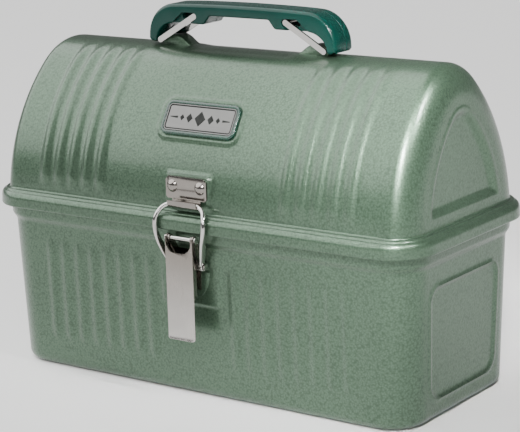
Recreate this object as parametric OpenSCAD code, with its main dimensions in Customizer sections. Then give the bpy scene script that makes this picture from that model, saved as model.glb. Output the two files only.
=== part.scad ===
// Steel lunch box with a domed lid, a draw latch, a folding carry handle and
// a swing-down wire that holds a bottle in the lid.
// X runs along the width, -Y is the latched front, +Z is up.
// The origin is the centre of the flat base.

/* [Sheet steel] */
// Thickness of the pressed steel
wall = 0.8; // [0.6:0.1:1]

/* [Tub] */
// Width of the tub's side walls, carried up to the lid rim
tub_w = 308.8; // [304:0.2:309.2]
// Depth of the tub's side walls, carried up to the lid rim
tub_d = 134.8; // [134:0.1:135.2]
// Height from the base to the lower edge of the lid rim
tub_h = 107; // [106.5:0.1:107]
// How much each side leans in per millimetre of depth
tub_draft = 0.03; // [0.02:0.005:0.035]
// Radius of the upright corners
tub_corner_r = 23; // [18:0.5:28]
// Radius of the edge round the base
tub_base_r = 6.4; // [4:0.2:8]

/* [Lid] */
// Width over the lid rim
rim_w = 324; // [323.5:0.1:324.5]
// Depth over the lid rim
rim_d = 150; // [149.4:0.1:150]
// Corner radius of the lid rim
rim_corner_r = 28; // [24:0.5:30]
// Depth of the dome above the rim
dome_d = 134.5; // [134.3:0.1:134.8]
// Height of the dome's ridge above the base
dome_top = 208.9; // [208.6:0.1:209]
// Radius of the arch over the ridge
crown_r = 42.5; // [40:0.5:45]
// Radius of the rounded edge round each end of the dome, along the width
end_rx = 13; // [11:0.5:15]
// Radius of the same edge, across the width
end_ry = 20; // [16:0.5:20]

/* [Hinges] */
// Distance of each hinge from the middle
hinge_x = 85; // [60:1:110]
// Length of each hinge
hinge_len = 44; // [40:1:60]
// Radius of the hinge pins
hinge_pin_r = 1.5; // [1.2:0.1:1.6]

/* [Latch] */
// Width of the latch lever
lever_w = 20.8; // [20:0.1:21]
// Height of the lever's lower end
lever_low = 39.5; // [34:0.5:50]
// Diameter of the bail wire
bail_d = 2.8; // [2.4:0.1:2.9]
// Width of the keeper plate
keeper_w = 30.5; // [28:0.5:34]

/* [Badge] */
// Width of the badge
badge_w = 56; // [48:1:60]
// Height of the badge along the slope of the lid
badge_h = 22; // [18:1:23]

/* [Handle] */
// Length of the grip
grip_len = 142.8; // [140:0.2:146]
// Width of the grip
grip_w = 20; // [19:0.5:22]
// Height of the grip's top above the base
grip_top = 236.2; // [234:0.1:238]
// Height that the handle lifts before its links stop it
handle_lift = 9; // [6:0.5:9]

/* [Bottle retainer] */
// Width of the wire loop
retainer_w = 64; // [50:1:80]
// Diameter of the wire
retainer_wire = 3; // [2.6:0.1:3]

/* [Hidden] */

sage = "darkseagreen";
nickel = "silver";
steel = "lightslategray";
grip_green = "darkgreen";

eps = 0.01;
bore_gap = 0.05;     // radial clearance of every running fit
press_gap = 0.02;    // radial clearance of every set pin, rivet and screw
corner_steps = 8;

// ---- tub and lid sections -------------------------------------------------
band_out = 2.4;      // how far the band under the lid rim stands out from the tub's sides
band_low = 95.8;     // where the sides start to step out to it
band_top = 101.2;    // where the band is vertical
bead_r = 1.9;        // bead rolled inwards on the tub's upper edge
tub_top = tub_h + 8;
dome_base = tub_h + 14;
dome_lean = 5.4;     // lean of the dome's side at its base, in degrees
end_lean = 0.034;    // how far the ends lean in per millimetre of height
overhang = (rim_d - dome_d) / 2;
dome_w = rim_w - 2 * overhang;
tub_pad_y = 67.4;    // face of the pressed pads on the tub
lid_pad_y = 67.6;    // face of the pressed pads on the lid

// The arch is a crown arc over two flank arcs that it meets tangentially.
crown = [0, dome_top - crown_r];
flank_foot = [dome_d / 2, dome_base];
flank_normal = [cos(dome_lean), sin(dome_lean)];
flank_r = ((flank_foot - crown) * (flank_foot - crown) - crown_r * crown_r)
    / (2 * ((flank_foot - crown) * flank_normal - crown_r));
flank = flank_foot - flank_r * flank_normal;
crown_from = atan2(crown.y - flank.y, crown.x - flank.x);

// ---- hinge ----------------------------------------------------------------
hinge_y = 78.5;
hinge_z = tub_h;
knuckle_r = 2.6;
knuckle_len = 12;
knuckle_gap = 0.4;

// ---- badge ----------------------------------------------------------------
badge_angle = 31.4;  // how far the badge leans back from upright

// ---- latch ----------------------------------------------------------------
lever_pivot = [-75, 102.8];
bail_pivot = [-70.4, 85.5];
lever_pin_r = 1.3;
bail_pin_r = 1.3;
sheet = 1;           // thickness of the latch's sheet metal
lever_front = -78.6;
lever_top = 103.9;
base_half = 8.9;     // half width of the latch base over its ears
flange_low = 65.6;
hook_bar = [-71.2, 123];
hook_half = 10.75;

// ---- handle ---------------------------------------------------------------
link_foot = [62.3, 211.6];
link_head = [34.9, 227.6];
link_bar_r = 1.5;
link_strip = [3.7, 1.6];
link_y = 8.4;        // middle of each side strip
seam_y = 2.5;        // where the two halves of the grip meet
web_y = 7.2;         // half width of the grip between its side channels
grip_under = 228.6;
lug_low = 223;
leg_low = 210.1;
grip_half = grip_len / 2;
pin_travel = link_foot.x - link_head.x
    - sqrt(pow(norm(link_foot - link_head), 2)
           - pow(link_head.y - link_foot.y + handle_lift, 2));

// ---- bottle retainer ------------------------------------------------------
retainer_y = 61;
retainer_z = 122.2;
clip_x = 21;

// ---------------------------------------------------------------------------
// Points
// ---------------------------------------------------------------------------

// Closed loop made by mirroring the points of its first quadrant.
function around(q) = let (n = len(q) - 1) concat(
    q,
    [for (i = [n:-1:0]) [-q[i].x, q[i].y, q[i].z]],
    [for (p = q) [-p.x, -p.y, p.z]],
    [for (i = [n:-1:0]) [q[i].x, -q[i].y, q[i].z]]);

// Rectangle with elliptical corners at height z, from its half sizes and corner radii.
function rounded_loop(a, b, r, z) = around(
    [for (i = [0:corner_steps]) let (t = 90 * i / corner_steps)
        [a - r.x + r.x * cos(t), b - r.y + r.y * sin(t), z]]);

// Tub outline at height z, drawn in by inset.
function tub_loop(z, inset) =
    let (lean = tub_draft * (tub_h - z) + inset, r = max(tub_corner_r - inset, 3))
    rounded_loop(tub_w / 2 - lean, tub_d / 2 - lean, [r, r], z);

// Half section of the dome where its surface faces up by the angle a, drawn in by d.
function arch_point(a, d) = a < crown_from
    ? flank + (flank_r - d) * [cos(a), sin(a)]
    : crown + (crown_r - d) * [cos(a), sin(a)];

// Loop round the dome at angle a; inset is 0 outside and the wall inside.
function dome_loop(a, inset) = around(
    [for (i = [0:corner_steps])
        let (c = 90 * i / corner_steps,
             p = arch_point(a, end_ry - (end_ry - inset) * sin(c)))
        [dome_w / 2 - end_rx + (end_rx - inset) * cos(c) - end_lean * (p.y - dome_base),
         p.x, p.y]]);

// Loop of the lid rim, out from the dome's side, at a height over the tub's rim line.
function rim_loop(out, rise) =
    let (share = out / overhang, rim_r = [rim_corner_r, rim_corner_r])
    rounded_loop(dome_w / 2 + out, dome_d / 2 + out,
                 [end_rx, end_ry] + share * (rim_r - [end_rx, end_ry]), tub_h + rise);

// Smooth curve through a list of points, with steps pieces between each pair.
function curve(p, steps) = concat(
    [for (i = [0:len(p) - 2], k = [0:steps - 1])
        let (t = k / steps,
             a = p[max(i - 1, 0)], b = p[i], c = p[i + 1], d = p[min(i + 2, len(p) - 1)])
        0.5 * (2 * b + (c - a) * t + (2 * a - 5 * b + 4 * c - d) * t * t
               + (3 * b - a - 3 * c + d) * t * t * t)],
    [p[len(p) - 1]]);

// Points of an elliptical arc.
function arc(centre, radii, from, to, steps) =
    [for (i = [0:steps]) let (t = from + (to - from) * i / steps)
        centre + [radii.x * cos(t), radii.y * sin(t)]];

// Points of a rounded rectangle centred on the origin.
function rounded_rect(w, h, r) = concat(
    arc([w / 2 - r, h / 2 - r], [r, r], 0, 90, 6),
    arc([-w / 2 + r, h / 2 - r], [r, r], 90, 180, 6),
    arc([-w / 2 + r, -h / 2 + r], [r, r], 180, 270, 6),
    arc([w / 2 - r, -h / 2 + r], [r, r], 270, 360, 6));

// ---------------------------------------------------------------------------
// Shared shapes
// ---------------------------------------------------------------------------

// Closed skin through loops of equal length. Each cap joins the front half of
// its loop to the back half.
module skin(loops) {
    n = len(loops[0]);
    m = len(loops);
    half = n / 2;
    last = (m - 1) * n;
    sides = [for (k = [0:m - 2], i = [0:n - 1])
        let (a = k * n + i, b = k * n + (i + 1) % n)
        for (f = [[a, a + n, b + n], [a, b + n, b]]) f];
    first_cap = [for (i = [0:half - 2]) let (a = i, b = i + 1, c = n - 2 - i, d = n - 1 - i)
        for (f = [[a, b, c], [a, c, d]]) f];
    last_cap = [for (f = first_cap) [f[2] + last, f[1] + last, f[0] + last]];
    polyhedron(points = [for (loop = loops) each loop],
               faces = concat(sides, first_cap, last_cap));
}

// Round wire along a path that never runs along the direction ref.
module wire(path, r, ref, sides = 12) {
    m = len(path);
    loops = [for (i = [0:m - 1])
        let (t = path[min(i + 1, m - 1)] - path[max(i - 1, 0)],
             u = cross(t, ref) / norm(cross(t, ref)),
             v = cross(t, u) / norm(cross(t, u)))
        [for (k = [0:sides - 1]) let (a = 360 * k / sides)
            path[i] + r * (cos(a) * u + sin(a) * v)]];
    faces = [for (i = [0:m - 2], k = [0:sides - 1])
        let (a = i * sides + k, b = i * sides + (k + 1) % sides)
        for (f = [[a, a + sides, b + sides], [a, b + sides, b]]) f];
    polyhedron(points = [for (loop = loops) each loop],
               faces = concat(faces, [[for (k = [0:sides - 1]) k]],
                              [[for (k = [sides - 1:-1:0]) (m - 1) * sides + k]]));
}

// Extrudes a (y, z) outline along X between two places.
module along_x(x0, x1) {
    translate([x0, 0, 0]) rotate([90, 0, 90]) linear_extrude(x1 - x0) children();
}

// Extrudes an (x, z) outline along Y between two places.
module along_y(y0, y1) {
    translate([0, y1, 0]) rotate([90, 0, 0]) linear_extrude(y1 - y0) children();
}

// Round bar along X.
module bar_x(x0, x1, place, r) {
    translate([x0, place.x, place.y]) rotate([0, 90, 0]) cylinder(r = r, h = x1 - x0, $fn = 48);
}

// Round bar along Y, at place (x, z).
module bar_y(y0, y1, place, r) {
    translate([place.x, y1, place.y]) rotate([90, 0, 0]) cylinder(r = r, h = y1 - y0, $fn = 48);
}

// Rivet standing along +Z with its head on z = 0 and its set tail below grip.
module rivet(head_d, head_h, shank_r, grip) {
    ball = (head_h * head_h + head_d * head_d / 4) / (2 * head_h);
    intersection() {
        translate([0, 0, head_h - ball]) sphere(r = ball, $fn = 64);
        cylinder(d = head_d + 1, h = head_h + 1, $fn = 48);
    }
    translate([0, 0, -grip]) cylinder(r = shank_r, h = grip + eps, $fn = 32);
    translate([0, 0, -grip - 0.8]) cylinder(r = shank_r * 1.6, h = 0.8, $fn = 32);
}

module front_rivet(x, y, z, head_d, head_h, shank_r, grip) {
    translate([x, y, z]) rotate([90, 0, 0]) rivet(head_d, head_h, shank_r, grip);
}

module back_rivet(x, y, z, head_d, head_h, shank_r, grip) {
    translate([x, y, z]) rotate([-90, 0, 0]) rivet(head_d, head_h, shank_r, grip);
}

// ---------------------------------------------------------------------------
// Tub and its fittings
// ---------------------------------------------------------------------------

module tub_skin() {
    base_steps = 5;
    outer_base = [for (i = [0:base_steps]) let (t = 90 * i / base_steps)
        tub_loop(tub_base_r * (1 - cos(t)), tub_base_r * (1 - sin(t)))];
    inner_r = tub_base_r - wall;
    inner_base = [for (i = [base_steps:-1:0]) let (t = 90 * i / base_steps)
        tub_loop(wall + inner_r * (1 - cos(t)), wall + inner_r * (1 - sin(t)))];
    step = [0, 0.15, 0.5, 0.85, 1];
    outer_band = [for (k = [0:4])
        tub_loop(band_low + (band_top - band_low) * k / 4, -band_out * step[k])];
    inner_band = [for (k = [4:-1:0])
        tub_loop(band_low + (band_top - band_low) * k / 4 - 0.2, wall - band_out * step[k])];
    bead = [for (a = [0:30:240])
        tub_loop(tub_top - bead_r + bead_r * sin(a), -band_out + bead_r * (1 - cos(a)))];
    bead_end = tub_loop(tub_top - 2 * bead_r - 0.6, wall - band_out);
    skin(concat(outer_base, outer_band, bead, [bead_end], inner_band, inner_base));
}

// Middle of the tub's front or back wall at height z.
function wall_middle(z) = tub_d / 2 - tub_draft * (tub_h - z) - wall / 2;

// Pressed pad on the tub's wall, for the latch or a hinge; side is -1 in front.
module tub_pad(x0, x1, z0, side) {
    z1 = band_low - 0.2;
    along_x(x0, x1) polygon([
        [side * tub_pad_y, z0], [side * tub_pad_y, z1 - 0.8],
        [side * wall_middle(z1), z1], [side * wall_middle(z0), z0]]);
}

module lower_tub() {
    color(sage) union() {
        tub_skin();
        tub_pad(-22, 22, 60, -1);
        for (x = [-hinge_x, hinge_x])
            tub_pad(x - hinge_len / 2 - 3, x + hinge_len / 2 + 3, 74, 1);
    }
}

// Hinge leaf on the tub, with the two outer knuckles.
module hinge_leaf_tub(x) {
    half = hinge_len / 2;
    color(sage) difference() {
        union() {
            along_x(x - half, x + half) polygon([
                [tub_pad_y, 76], [tub_pad_y + sheet, 76], [tub_pad_y + sheet, 94.7],
                [77.9, 101], [77.9, 103.6], [76.9, 103.6], [76.9, 101.6], [tub_pad_y, 95.3]]);
            for (x0 = [x - half, x + half - knuckle_len]) {
                bar_x(x0, x0 + knuckle_len, [hinge_y, hinge_z], knuckle_r);
                along_x(x0, x0 + knuckle_len) polygon([
                    [hinge_y - knuckle_r, 103], [77.6, 103], [77.6, hinge_z],
                    [hinge_y - knuckle_r, hinge_z]]);
            }
        }
        bar_x(x - half - 1, x + half + 1, [hinge_y, hinge_z], hinge_pin_r + press_gap);
        for (dx = [-14, 14])
            bar_y(60, 80, [x + dx, 86], 1.6 + press_gap);
    }
}

module hinge_pin(x) {
    half = hinge_len / 2;
    color(steel) {
        bar_x(x - half - 1.2, x + half + 1.2, [hinge_y, hinge_z], hinge_pin_r);
        for (x0 = [x - half - 1.4, x + half + 0.4])
            bar_x(x0, x0 + 1, [hinge_y, hinge_z], hinge_pin_r + 0.7);
    }
}

module hinge_rivets_tub() {
    color(steel) for (x = [-hinge_x, hinge_x], dx = [-14, 14])
        back_rivet(x + dx, tub_pad_y + sheet, 86, 6.4, 1.3, 1.6, 2.6);
}

// Bracket riveted to the tub; its two ears carry the lever's pivot pin.
module latch_base() {
    ear = [[-tub_pad_y - 0.4, 95], [-tub_pad_y - 0.4, 86.5],
           [lever_pivot.x - 1.9, lever_pivot.y - 1.1], [lever_pivot.x + 1.5, lever_pivot.y + 1.6]];
    color(nickel) difference() {
        union() {
            along_x(-base_half, base_half)
                polygon([[-tub_pad_y, 70], [-tub_pad_y, 95], [-tub_pad_y - 0.8, 95],
                         [-tub_pad_y - 0.8, 70]]);
            for (x0 = [-base_half, base_half - sheet]) {
                along_x(x0, x0 + sheet) polygon(ear);
                bar_x(x0, x0 + sheet, lever_pivot, 2.2);
            }
        }
        bar_x(-20, 20, lever_pivot, lever_pin_r + press_gap);
        for (z = [76, 90])
            bar_y(-70, -60, [0, z], 1.6 + press_gap);
    }
}

module latch_base_rivets() {
    color(steel) for (z = [76, 90])
        front_rivet(0, -tub_pad_y - 0.8, z, 6, 1.2, 1.6, 2.7);
}

module latch_pivot_pin() {
    color(nickel) {
        bar_x(-lever_w / 2 - 0.8, lever_w / 2 + 0.8, lever_pivot, lever_pin_r);
        for (s = [-1, 1])
            translate([s * (lever_w / 2 + 0.7), 0, 0])
                bar_x(-0.35, 0.35, lever_pivot, lever_pin_r + 0.7);
    }
}

// ---------------------------------------------------------------------------
// Lid and its fittings
// ---------------------------------------------------------------------------

module lid_skin() {
    arch = [88, 84, 79, 73, 66, 59, 52, 45, 38, 31, 24, 18, 13, 8.5];
    outer = [[overhang, 0], [overhang, 4.8], [overhang - 0.45, 6.9], [6.3, 8.4], [4.6, 9.6],
             [2.6, 10.5], [1, 10.9], [0.2, 11.8], [0, 14]];
    inner = [for (i = [len(outer) - 1:-1:0])
        let (p = outer[i]) [p.x - wall, i == 0 ? 0 : p.y - (p.x > 0.5 ? 0.6 : 0)]];
    skin(concat([for (t = arch) dome_loop(t, wall)],
                [for (p = inner) rim_loop(p.x, p.y)],
                [for (p = outer) rim_loop(p.x, p.y)],
                [for (i = [len(arch) - 1:-1:0]) dome_loop(arch[i], 0)]));
}

// Pressed pad on the lid's wall; its back follows the wall.
module lid_pad(x0, x1, side) {
    back = [for (a = [18:-2:6]) arch_point(a, wall / 2)];
    low = tub_h + 15.6;
    along_x(x0, x1) polygon(concat(
        [[side * lid_pad_y, low], [side * lid_pad_y, tub_h + 34]],
        [for (p = back) [side * p.x, p.y]]));
}

module lid_shell() {
    color(sage) union() {
        lid_skin();
        lid_pad(-16.4, 16.4, -1);
        for (x = [-hinge_x, hinge_x])
            lid_pad(x - hinge_len / 2 - 3, x + hinge_len / 2 + 3, 1);
    }
}

// Hinge leaf on the lid, with the middle knuckle.
module hinge_leaf_lid(x) {
    half = hinge_len / 2;
    mid = half - knuckle_len - knuckle_gap;
    color(sage) difference() {
        union() {
            along_x(x - half, x + half) polygon([
                [lid_pad_y, 140], [lid_pad_y + sheet, 140], [lid_pad_y + sheet, 124.5],
                [77.4, 116], [77.4, 110.4], [76.4, 110.4], [76.4, 115.5], [lid_pad_y, 123.9]]);
            bar_x(x - mid, x + mid, [hinge_y, hinge_z], knuckle_r);
            along_x(x - mid, x + mid) polygon([
                [hinge_y - knuckle_r, hinge_z], [77.4, hinge_z], [77.4, 110.6],
                [76.4, 110.6]]);
        }
        bar_x(x - half, x + half, [hinge_y, hinge_z], hinge_pin_r + bore_gap);
        for (dx = [-14, 14])
            bar_y(60, 80, [x + dx, 132], 1.6 + press_gap);
    }
}

module hinge_rivets_lid() {
    color(steel) for (x = [-hinge_x, hinge_x], dx = [-14, 14])
        back_rivet(x + dx, lid_pad_y + sheet, 132, 6.4, 1.3, 1.6, 4.1);
}

// Plate on the lid with the upturned hook that the bail pulls on.
module keeper_plate() {
    cut = 2.5;
    face = lid_pad_y + sheet - 0.1;
    half = keeper_w / 2;
    color(nickel) difference() {
        union() {
            along_y(-face, -lid_pad_y) polygon([
                [-half + 1.5, 126], [half - 1.5, 126], [half, 127.5], [half, 139.5 - cut],
                [half - cut, 139.5], [-half + cut, 139.5], [-half, 139.5 - cut],
                [-half, 127.5]]);
            along_x(-hook_half, hook_half) polygon([
                [-lid_pad_y, 127], [-lid_pad_y, 120.9], [-lid_pad_y - 0.4, 120.5],
                [-73.5, 120.5], [-73.9, 120.9], [-73.9, 125.2], [-73, 125.2], [-73, 121.4],
                [-face, 121.4], [-face, 127]]);
        }
        for (x = [-10.4, 10.4])
            bar_y(-75, -60, [x, 133.4], 1.9 + press_gap);
    }
}

module keeper_rivets() {
    color(nickel) for (x = [-10.4, 10.4])
        front_rivet(x, -lid_pad_y - sheet + 0.1, 133.4, 8, 2, 1.9, 4.1);
}

// Places the badge on the front slope of the dome, facing outwards along +Z.
module on_badge() {
    p = arch_point(badge_angle, 0);
    translate([0, -p.x, p.y]) rotate([90 - badge_angle, 0, 0]) children();
}

module badge_frame() {
    color(grip_green) on_badge() translate([0, 0, 0.1]) difference() {
        linear_extrude(2) polygon(rounded_rect(badge_w, badge_h, 5));
        translate([0, 0, 1]) linear_extrude(2)
            polygon(rounded_rect(badge_w - 4.4, badge_h - 4.4, 3));
        for (x = [-18, 18]) translate([x, 0, -1])
            cylinder(r = 1 + press_gap, h = 4, $fn = 32);
    }
}

module badge_plate() {
    color(nickel) on_badge() translate([0, 0, 1.1])
        linear_extrude(0.7) polygon(rounded_rect(badge_w - 4.6, badge_h - 4.6, 2.9));
}

// Studs on the back of the plate, set through the frame and the lid.
module badge_studs() {
    color(steel) on_badge() for (x = [-18, 18]) {
        translate([x, 0, -2]) cylinder(r = 1, h = 3.1, $fn = 32);
        translate([x, 0, -2.6]) cylinder(r = 1.8, h = 0.8, $fn = 32);
    }
}

// Painted saddle on the ridge; its outer end wraps the foot of a link. side is -1 at left.
module handle_saddle(side) {
    half = 5.5;
    wrap = 2.2;
    saddle_low = dome_top - 0.4;
    foot = [side * link_foot.x, link_foot.y];
    color(sage) difference() {
        union() {
            along_y(-half, half) polygon([
                [side * (link_foot.x + 1), saddle_low], [foot.x, link_foot.y + wrap],
                [side * 53, 214.6], [side * 50, 214.2], [side * 44, 209.8],
                [side * 42, saddle_low]]);
            bar_y(-half, half, foot, wrap);
        }
        bar_y(-half - 1, half + 1, foot, link_bar_r + bore_gap);
    }
}

// Two clips on the lid's back wall that the wire loop turns in.
module retainer_clips() {
    width = 7;
    centre = [retainer_y, retainer_z];
    bore = retainer_wire / 2 + bore_gap;
    color(steel) for (x = [-clip_x, clip_x]) difference() {
        union() {
            along_x(x - width / 2, x + width / 2) polygon([
                [64.4, 119.6], [65.2, 119.6], [65.2, 131], [64.4, 131]]);
            along_x(x - width / 2, x + width / 2) polygon([
                [retainer_y, retainer_z - 1], [65, retainer_z - 1], [65, retainer_z + 2.5],
                [retainer_y, retainer_z + 2.5]]);
            bar_x(x - width / 2, x + width / 2, centre, 2.5);
        }
        bar_x(x - width, x + width, centre, bore);
        bar_y(60, 70, [x, 128], 1 + press_gap);
    }
}

// Spring catch welded to the lid's front wall; its tongue holds the loop up.
module retainer_catch() {
    low = retainer_z - retainer_wire / 2 - 0.5;
    color(steel) along_x(-8, 8) polygon([
        [-65.3, 130], [-64.5, 130], [-64.5, low], [-58.4, low], [-58.4, low + 1.4],
        [-57.6, low + 1.4], [-57.6, low - 0.8], [-65.3, low - 0.8]]);
}

module retainer_rivets() {
    color(steel) for (x = [-clip_x, clip_x])
        front_rivet(x, 64.4, 128, 3.6, 0.9, 1, 2.3);
}

// ---------------------------------------------------------------------------
// Latch lever and bail
// ---------------------------------------------------------------------------

module latch_lever() {
    half = lever_w / 2;
    inner = lever_front + sheet;
    notch = [[half - sheet, lever_top], [half - sheet, 100.2], [8.4, 97.6], [6.6, 95.6],
             [4.4, 94.4]];
    color(nickel) difference() {
        union() {
            along_y(lever_front, inner) polygon(concat(
                arc([half - 1.6, lever_low + 1.6], [1.6, 1.6], 270, 360, 4),
                [[half, lever_top]], notch,
                [for (i = [len(notch) - 1:-1:0]) [-notch[i].x, notch[i].y]],
                [[-half, lever_top]],
                arc([-half + 1.6, lever_low + 1.6], [1.6, 1.6], 180, 270, 4)));
            for (x0 = [-half, half - sheet]) {
                along_x(x0, x0 + sheet) polygon([
                    [inner - eps, flange_low], [inner + 1.4, flange_low],
                    [inner + 3, flange_low + 2.4], [inner + 3, 94], [inner + 3, lever_top],
                    [inner - eps, lever_top]]);
                hull() {
                    bar_x(x0, x0 + sheet, lever_pivot, 2.6);
                    bar_x(x0, x0 + sheet, bail_pivot, 2.4);
                }
            }
        }
        bar_x(-20, 20, lever_pivot, lever_pin_r + bore_gap);
        bar_x(-20, 20, bail_pivot, bail_pin_r + press_gap);
    }
}

// Headed pins set in the lever's ears; the bail's eyes turn on them.
module bail_pins() {
    inside = lever_w / 2 - sheet;
    color(nickel) for (s = [-1, 1]) {
        x0 = s > 0 ? inside : -inside - 4.9;
        bar_x(x0, x0 + 4.9, bail_pivot, bail_pin_r);
        head = s > 0 ? inside + 4.6 : -inside - 5.4;
        bar_x(head, head + 0.8, bail_pivot, bail_pin_r + 0.8);
    }
}

// Wire bail, bowed forward round the lid rim, with a flat eye at each foot.
module latch_bail() {
    eye_x = 12.2;
    half = [[0, hook_bar.x, hook_bar.y], [6, hook_bar.x, hook_bar.y],
            [11, hook_bar.x - 0.2, hook_bar.y - 0.3], [15.4, -73, 120.3], [17.7, -75.7, 116],
            [18.4, -76.8, 111.5], [17.7, -76.7, 105], [15.4, -74.2, 96],
            [eye_x + 0.3, bail_pivot.x - 0.6, bail_pivot.y + 2]];
    n = len(half) - 1;
    route = concat([for (i = [n:-1:1]) [-half[i].x, half[i].y, half[i].z]], half);
    color(nickel) difference() {
        union() {
            wire(curve(route, 4), bail_d / 2, [0, 1, 0]);
            for (s = [-1, 1])
                translate([s * eye_x, 0, 0]) bar_x(-1.1, 1.1, bail_pivot, 2.6);
        }
        bar_x(-20, 20, bail_pivot, bail_pin_r + bore_gap);
    }
}

// ---------------------------------------------------------------------------
// Handle
// ---------------------------------------------------------------------------

// Side outline of the grip: arched top, curved legs, a lug over each link.
function grip_half_outline() = concat(
    [[0, grip_top], [25, grip_top - 0.25], [50, grip_top - 1]],
    arc([50, 214], [grip_half - 50, grip_top - 215], 81, 0, 10),
    [[grip_half, leg_low + 1.6], [grip_half - 1.6, leg_low], [65.2, leg_low]],
    arc([50, leg_low + 0.6], [15, lug_low - leg_low - 0.6], 0, 84, 8),
    [[50, lug_low], [27, lug_low], [22.5, grip_under], [0, grip_under]]);

module grip_outline() {
    half = grip_half_outline();
    polygon(concat(half, [for (i = [len(half) - 2:-1:1]) [-half[i].x, half[i].y]]));
}

// Channel that a link's side strip swings in, from the folded to the lifted place.
module link_channel(side, y0, y1) {
    room = link_strip.x / 2 + 0.6;
    hull() for (p = [link_head, link_head + [pin_travel, 0], link_foot,
                     link_foot - [0, handle_lift]])
        bar_y(y0, y1, [side * p.x, p.y], room);
}

// Slot that a link's upper bar slides in.
module bar_slot(side) {
    room = link_bar_r + 0.6;
    ends = [side * (link_head.x - 0.3), side * (link_head.x + pin_travel + 0.3)];
    for (x = ends)
        bar_y(-grip_w, grip_w, [x, link_head.y], room);
    translate([min(ends), -grip_w, link_head.y - room])
        cube([abs(ends[1] - ends[0]), 2 * grip_w, 2 * room]);
}

screw_places = [[0, 232.4], [-57, 228], [57, 228]];

module grip_part(y0, y1, channel_y0, channel_y1) {
    color(grip_green) difference() {
        along_y(y0, y1) grip_outline();
        for (side = [-1, 1]) {
            link_channel(side, channel_y0, channel_y1);
            bar_slot(side);
        }
        for (p = screw_places) {
            bar_y(-6, 7, p, 1.3 + press_gap);
            bar_y(7, grip_w, p, 2.6 + press_gap);
        }
    }
}

module grip_front() {
    grip_part(-grip_w / 2, seam_y, -grip_w, -web_y);
}

module grip_rear() {
    grip_part(seam_y, grip_w / 2, web_y, grip_w);
}

module grip_screws() {
    color(steel) for (p = screw_places) {
        bar_y(-5.8, 7.1, p, 1.3);
        bar_y(7, 9, p, 2.6);
    }
}

// Flat-sided loop that joins a saddle on the lid to the grip.
module handle_link(side) {
    head = [side * link_head.x, link_head.y];
    foot = [side * link_foot.x, link_foot.y];
    reach = link_y + link_strip.y / 2;
    along = (foot - head) / norm(foot - head);
    across = [-along.y, along.x] * link_strip.x / 2;
    color(nickel) {
        for (y = [-link_y, link_y]) {
            along_y(y - link_strip.y / 2, y + link_strip.y / 2)
                polygon([head + across, foot + across, foot - across, head - across]);
            for (p = [head, foot])
                bar_y(y - link_strip.y / 2, y + link_strip.y / 2, p, link_strip.x / 2);
        }
        for (p = [head, foot])
            bar_y(-reach, reach, p, link_bar_r);
    }
}

// ---------------------------------------------------------------------------
// Bottle retainer
// ---------------------------------------------------------------------------

module bottle_retainer() {
    r = retainer_wire / 2;
    half = retainer_w / 2;
    bend = 6;
    ends = [retainer_y, -retainer_y];
    color(steel) translate([0, 0, retainer_z]) {
        for (y = ends) rotate([0, 90, 0]) translate([0, y, -half + bend])
            cylinder(r = r, h = retainer_w - 2 * bend, $fn = 48);
        for (x = [-half, half]) translate([x, retainer_y - bend, 0]) rotate([90, 0, 0])
            cylinder(r = r, h = 2 * (retainer_y - bend), $fn = 48);
        for (sx = [0, 1], sy = [0, 1]) mirror([sx, 0, 0]) mirror([0, sy, 0])
            translate([half - bend, retainer_y - bend, 0])
                rotate_extrude(angle = 90, $fn = 96) translate([bend, 0]) circle(r = r, $fn = 48);
    }
}

lower_tub();
hinge_leaf_tub(-hinge_x);  // hinge_leaf_tub_left
hinge_leaf_tub(hinge_x);  // hinge_leaf_tub_right
hinge_pin(-hinge_x);  // hinge_pin_left
hinge_pin(hinge_x);  // hinge_pin_right
hinge_rivets_tub();
latch_base();
latch_base_rivets();
latch_pivot_pin();
lid_shell();
hinge_leaf_lid(-hinge_x);  // hinge_leaf_lid_left
hinge_leaf_lid(hinge_x);  // hinge_leaf_lid_right
hinge_rivets_lid();
keeper_plate();
keeper_rivets();
badge_frame();
badge_plate();
badge_studs();
handle_saddle(-1);  // handle_saddle_left
handle_saddle(1);  // handle_saddle_right
retainer_clips();
retainer_catch();
retainer_rivets();
latch_lever();
bail_pins();
latch_bail();
grip_front();
grip_rear();
grip_screws();
handle_link(-1);  // handle_link_left
handle_link(1);  // handle_link_right
bottle_retainer();
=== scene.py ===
"""Looks for a painted steel lunch box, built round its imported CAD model.

Shapes are worked out in millimetres and written into the meshes in metres. X runs along
the width, -Y is the latched front and +Z is up.
"""

import math

import bmesh
import bpy
import numpy as np
from mathutils import Matrix, Vector


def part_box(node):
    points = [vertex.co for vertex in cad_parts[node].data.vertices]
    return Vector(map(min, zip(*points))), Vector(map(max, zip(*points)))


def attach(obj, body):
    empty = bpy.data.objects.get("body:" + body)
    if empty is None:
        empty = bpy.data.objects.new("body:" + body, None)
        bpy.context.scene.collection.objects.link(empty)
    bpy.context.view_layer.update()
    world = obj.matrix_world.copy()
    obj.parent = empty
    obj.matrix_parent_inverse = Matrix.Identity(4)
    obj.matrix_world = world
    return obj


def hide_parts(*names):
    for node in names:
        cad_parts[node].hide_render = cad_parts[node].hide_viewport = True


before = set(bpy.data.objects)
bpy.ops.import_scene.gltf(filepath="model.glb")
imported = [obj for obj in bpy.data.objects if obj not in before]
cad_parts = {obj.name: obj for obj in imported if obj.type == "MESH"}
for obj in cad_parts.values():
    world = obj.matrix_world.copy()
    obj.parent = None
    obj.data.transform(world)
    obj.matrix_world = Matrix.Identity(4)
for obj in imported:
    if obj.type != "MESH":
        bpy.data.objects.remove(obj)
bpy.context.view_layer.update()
MM = 0.001


def corners(node):
    """Lowest and highest corner of a CAD node, in millimetres."""
    low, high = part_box(node)
    return np.array(low) / MM, np.array(high) / MM


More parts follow.
